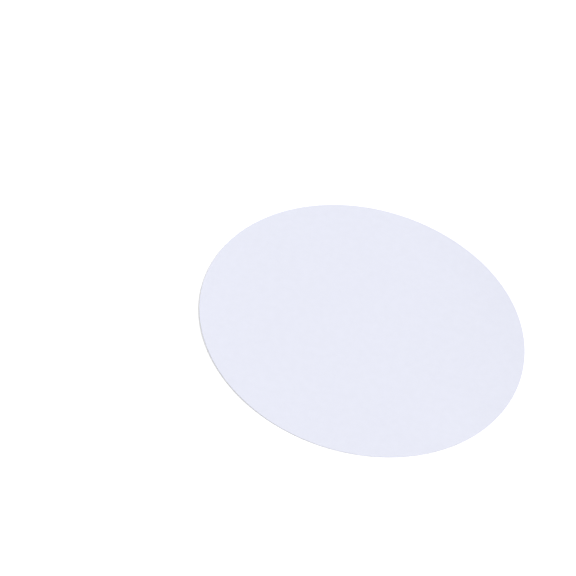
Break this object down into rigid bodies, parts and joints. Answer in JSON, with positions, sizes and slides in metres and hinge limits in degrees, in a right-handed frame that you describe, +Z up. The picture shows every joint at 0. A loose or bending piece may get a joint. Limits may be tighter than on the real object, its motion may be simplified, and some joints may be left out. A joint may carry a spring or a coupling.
{
  "type": "filter paper disc",
  "caption": "Flat round disc of thin bluish-white filter paper with a punched edge, laid in a funnel to hold back solids while liquid passes through.",
  "frame": {"origin": "centre of the underside, on the disc's axis", "axes": "+Z up through the paper from the underside to the upper face; X and Y lie in the plane of the paper, in any direction, because the disc is round"},
  "size_m": [0.15, 0.15, 0.0002],
  "materials": {
    "filter_paper": "matte"
  },
  "bodies": {
    "root": {"paper_disc": "filter_paper"}
  },
  "joints": []
}
